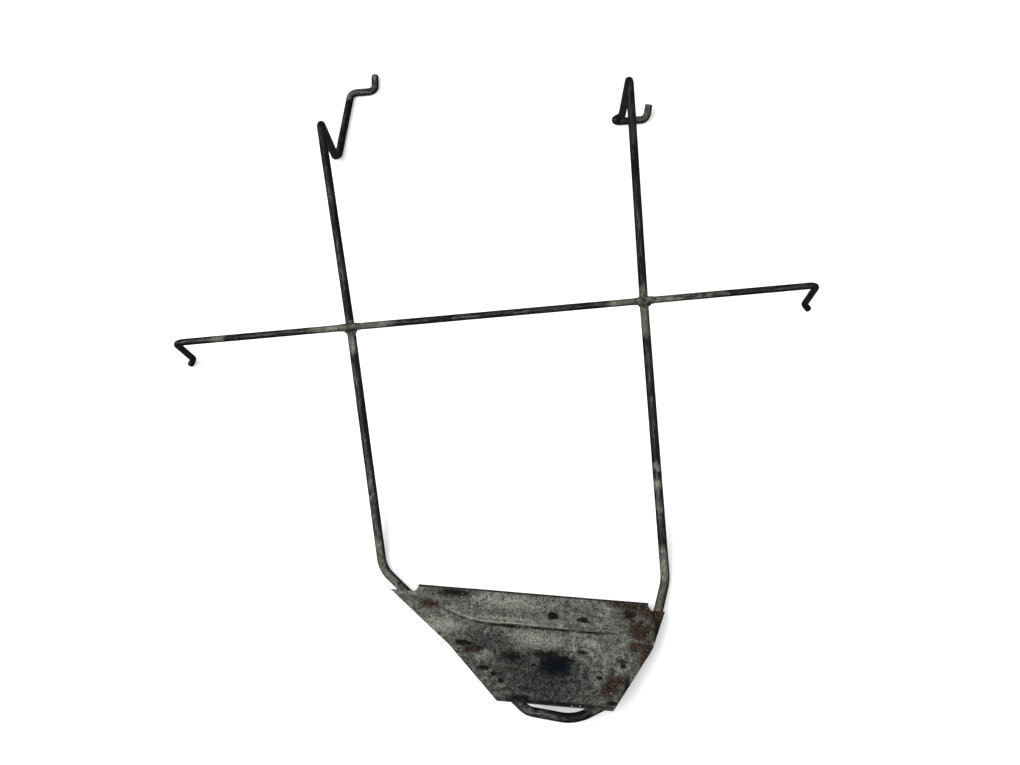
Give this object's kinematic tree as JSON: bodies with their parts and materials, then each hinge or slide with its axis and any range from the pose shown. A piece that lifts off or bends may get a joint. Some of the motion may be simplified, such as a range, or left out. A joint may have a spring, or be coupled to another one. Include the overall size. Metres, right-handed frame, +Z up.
{
  "type": "wheel carrier frame",
  "caption": "Carrier frame bent from round bar, with hinge hooks, a welded cross bar with turned-down ends, a flanged sheet plate and a pull loop.",
  "frame": {"origin": "on the ground, under the middle of the whole carrier's box", "axes": "+Z up, +X along the cross bar to the right seen from the tail, +Y from the tail and its loop towards the hinge hooks"},
  "size_m": [0.5972, 0.7324, 0.13],
  "materials": {
    "bar_paint": "thin black paint on steel bar, scuffed through to grey steel on the bends, the tail and the loop",
    "plate_paint": "scuffed dark grey paint on sheet steel, stained and rust-flecked",
    "weld_metal": "rough weld metal, thinly painted over, grey-brown"
  },
  "bodies": {
    "root": {"main_rod": "bar_paint", "cross_rod": "bar_paint", "plate": "plate_paint", "left_cross_weld": "weld_metal", "right_cross_weld": "weld_metal", "left_plug_welds": "weld_metal", "right_plug_welds": "weld_metal"}
  },
  "joints": []
}
